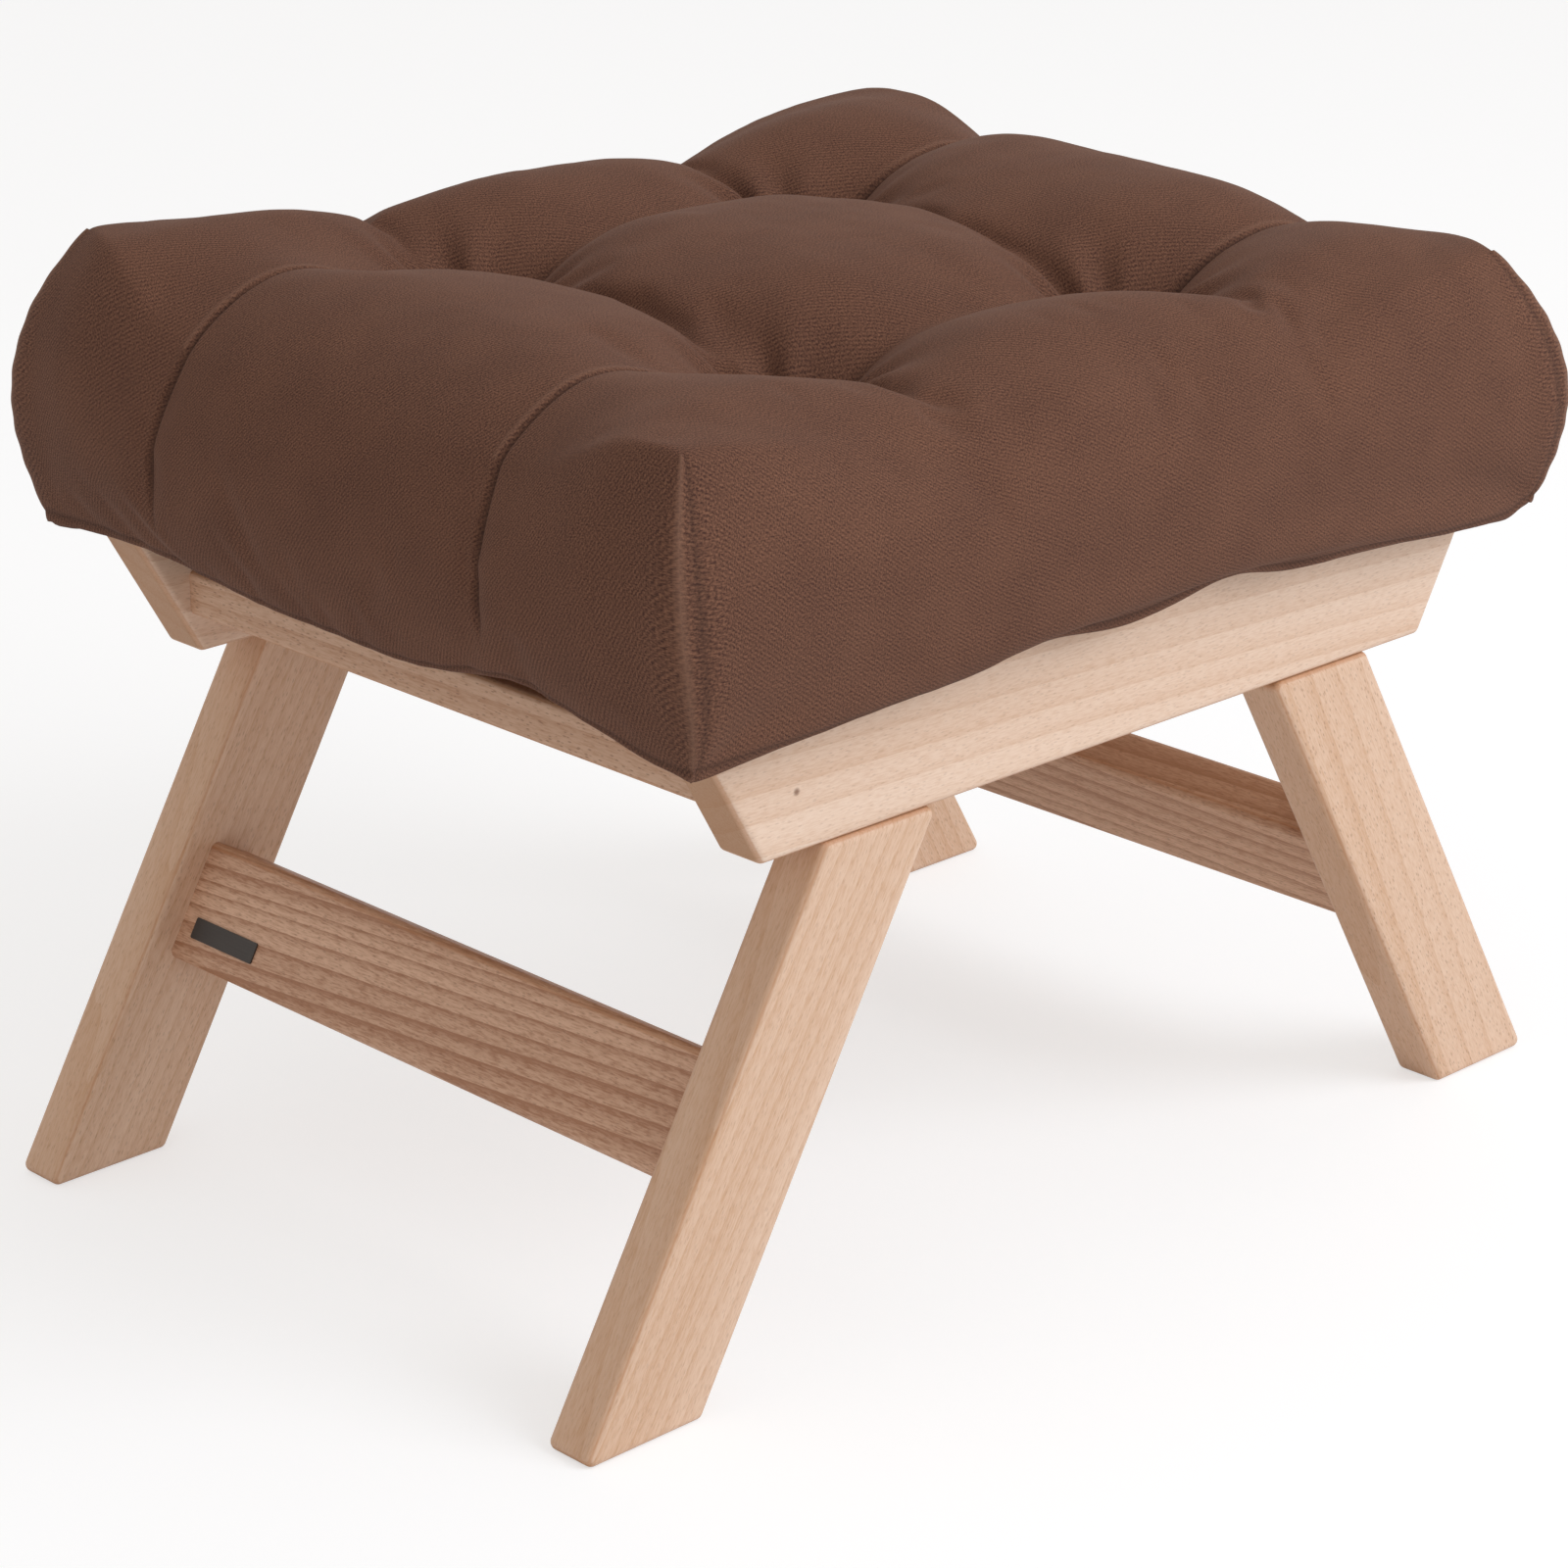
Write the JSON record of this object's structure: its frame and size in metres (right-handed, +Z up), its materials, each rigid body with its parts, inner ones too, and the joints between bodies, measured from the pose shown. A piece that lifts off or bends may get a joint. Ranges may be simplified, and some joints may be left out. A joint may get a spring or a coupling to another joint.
{
  "type": "footstool",
  "caption": "Low footstool: a dowelled beech frame with splayed legs, end stretchers and seat slats, and a thick tufted fabric cushion that lifts off.",
  "frame": {"origin": "on the floor, under the middle of the stool", "axes": "+Z up, +X along the side rails, the way the legs splay, +Y across the stool from the front rail to the back rail"},
  "size_m": [0.647, 0.4806, 0.4575],
  "materials": {
    "beech": "satin",
    "dowel_beech": "matte",
    "label_metal": "satin",
    "brown_canvas": "matte",
    "fibre_filling": "matte",
    "tie_thread": "matte"
  },
  "bodies": {
    "frame": {"front_rail": "beech", "back_rail": "beech", "front_left_leg": "beech", "front_right_leg": "beech", "back_left_leg": "beech", "back_right_leg": "beech", "left_stretcher": "beech", "right_stretcher": "beech", "seat_slat_1": "beech", "seat_slat_2": "beech", "seat_slat_3": "beech", "seat_slat_4": "beech", "seat_slat_5": "beech", "front_left_leg_dowels": "dowel_beech", "front_right_leg_dowels": "dowel_beech", "back_left_leg_dowels": "dowel_beech", "back_right_leg_dowels": "dowel_beech", "left_stretcher_dowels": "dowel_beech", "right_stretcher_dowels": "dowel_beech", "front_slat_dowels": "dowel_beech", "back_slat_dowels": "dowel_beech", "label_plate": "label_metal"},
    "cushion": {"cushion_cover": "brown_canvas", "cushion_base": "brown_canvas", "cushion_filling": "fibre_filling", "tuft_ties": "tie_thread"}
  },
  "joints": [
    {"name": "cushion_lift", "type": "slide", "parent": "frame", "child": "cushion", "axis": [0, 0, 1], "range_m": [0, 0.2]}
  ]
}
